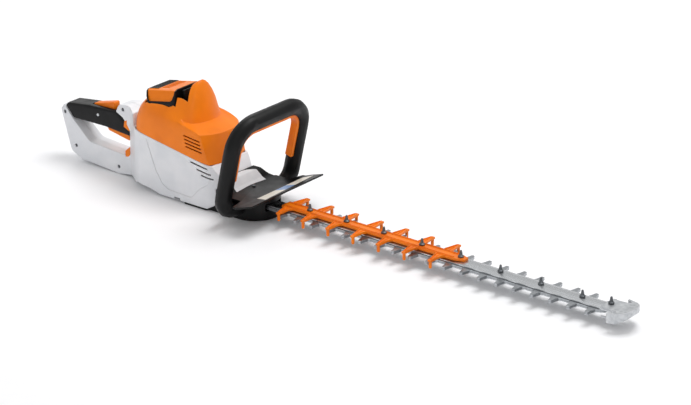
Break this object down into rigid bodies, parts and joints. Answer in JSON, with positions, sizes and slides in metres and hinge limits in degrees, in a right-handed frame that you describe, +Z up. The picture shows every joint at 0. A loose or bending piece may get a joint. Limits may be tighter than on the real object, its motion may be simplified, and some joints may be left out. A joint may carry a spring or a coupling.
{
  "type": "hedge trimmer",
  "caption": "Battery hedge trimmer with a long double-sided cutter bar, bail front handle, hand guard and loop rear handle.",
  "frame": {"origin": "on the floor, on the flat base plate under the gear housing, 15 mm in front of the crank's axis, on the machine's plane of symmetry", "axes": "+X forward along the cutter bar, +Y to the operator's left, +Z up"},
  "size_m": [1.3161, 0.227, 0.2318],
  "materials": {
    "white_housing": "moulded glass-filled nylon, fine spark-eroded texture",
    "orange_hood": "moulded, satin gloss",
    "black_plastic": "moulded, satin",
    "black_grip": "soft-touch grip",
    "blade_steel": "punched and ground steel",
    "dark_steel": "phosphated steel",
    "bright_steel": "turned and ground steel",
    "cast_alloy": "die-cast, bead blasted",
    "circuit_board": "solder mask"
  },
  "bodies": {
    "frame": {"bar_screw_1": "dark_steel", "bar_screw_2": "dark_steel", "bar_screw_3": "dark_steel", "bar_screw_4": "dark_steel", "bar_screw_5": "dark_steel", "bar_screw_6": "dark_steel", "bar_screw_7": "dark_steel", "bar_screw_8": "dark_steel", "bar_screw_9": "dark_steel", "base_plate": "black_plastic", "battery_well": "black_plastic", "blade_guard": "orange_hood", "contact_block": "black_plastic", "controller_board": "circuit_board", "crank_bearing_base": "bright_steel", "crank_bearing_top": "bright_steel", "front_handle": "black_grip", "gear_housing": "black_plastic", "grip_screw": "bright_steel", "guard_screw": "dark_steel", "guide_bar": "blade_steel", "hand_guard": "black_plastic", "handle_bolt_left": "bright_steel", "handle_bolt_right": "bright_steel", "handle_screw_1": "dark_steel", "handle_screw_2": "dark_steel", "handle_screw_3": "dark_steel", "handle_screw_4": "dark_steel", "heat_sink": "cast_alloy", "hood": "orange_hood", "housing_left": "white_housing", "housing_right": "white_housing", "idler_axle": "bright_steel", "latch_pin": "bright_steel", "lever_pin": "bright_steel", "lever_spring": "bright_steel", "motor_stator": "dark_steel", "rear_bulkhead": "orange_hood", "rear_grip": "black_grip", "tip_guard": "cast_alloy", "trigger_pin": "bright_steel", "trigger_spring": "bright_steel", "trigger_switch": "black_plastic"},
    "upper_blade": {"upper_blade": "blade_steel"},
    "lower_blade": {"lower_blade": "blade_steel"},
    "crank": {"crank_shaft": "bright_steel", "crank_gear": "dark_steel"},
    "idler": {"idler_gear": "dark_steel"},
    "rotor": {"rotor_bell": "cast_alloy", "rotor_shaft": "bright_steel", "motor_pinion": "bright_steel", "cooling_fan": "black_plastic"},
    "battery": {"battery_case": "black_plastic", "battery_lid": "orange_hood"},
    "latch": {"battery_latch": "black_plastic"},
    "switch_bar": {"switch_bar": "orange_hood"},
    "trigger": {"trigger": "orange_hood"},
    "lockout_lever": {"lockout_lever": "orange_hood"}
  },
  "joints": [
    {"name": "upper_blade_slide", "type": "slide", "parent": "frame", "child": "upper_blade", "axis": [1, 0, 0], "range_m": [-0.00937, 0.00937]},
    {"name": "lower_blade_slide", "type": "slide", "parent": "frame", "child": "lower_blade", "axis": [1, 0, 0], "range_m": [-0.00937, 0.00937]},
    {"name": "crank_turn", "type": "hinge", "parent": "frame", "child": "crank", "pos_m": [-0.015, 0, 0.02], "axis": [0, 0, 1], "continuous": true},
    {"name": "idler_turn", "type": "hinge", "parent": "frame", "child": "idler", "pos_m": [-0.0825, 0, 0.02], "axis": [0, 0, 1], "continuous": true},
    {"name": "rotor_turn", "type": "hinge", "parent": "frame", "child": "rotor", "pos_m": [-0.12, 0, 0.02], "axis": [0, 0, 1], "continuous": true},
    {"name": "battery_slide", "type": "slide", "parent": "frame", "child": "battery", "axis": [-0.1908, 0, 0.9816], "range_m": [0, 0.13]},
    {"name": "latch_hinge", "type": "hinge", "parent": "frame", "child": "latch", "pos_m": [-0.16208, 0, 0.18317], "axis": [0, 1, 0], "range_deg": [0, 7], "stiffness_Nm_per_rad": 0.05, "springref_deg": -11.46},
    {"name": "switch_bar_slide", "type": "slide", "parent": "frame", "child": "switch_bar", "axis": [0.225, 0, 0.9744], "range_m": [0, 0.0035], "stiffness_N_per_m": 600, "springref_m": -0.006},
    {"name": "trigger_hinge", "type": "hinge", "parent": "frame", "child": "trigger", "pos_m": [-0.37, 0, 0.093], "axis": [0, -1, 0], "range_deg": [0, 7], "stiffness_Nm_per_rad": 0.08, "springref_deg": -22.92},
    {"name": "lockout_lever_hinge", "type": "hinge", "parent": "frame", "child": "lockout_lever", "pos_m": [-0.406, 0, 0.1145], "axis": [0, 1, 0], "range_deg": [0, 8], "stiffness_Nm_per_rad": 0.05, "springref_deg": -17.19}
  ],
  "couplings": [
    {"joint": "lower_blade_slide", "follows": "upper_blade_slide", "ratio": -1},
    {"joint": "idler_turn", "follows": "crank_turn", "ratio": -1.25},
    {"joint": "rotor_turn", "follows": "crank_turn", "ratio": 5}
  ]
}
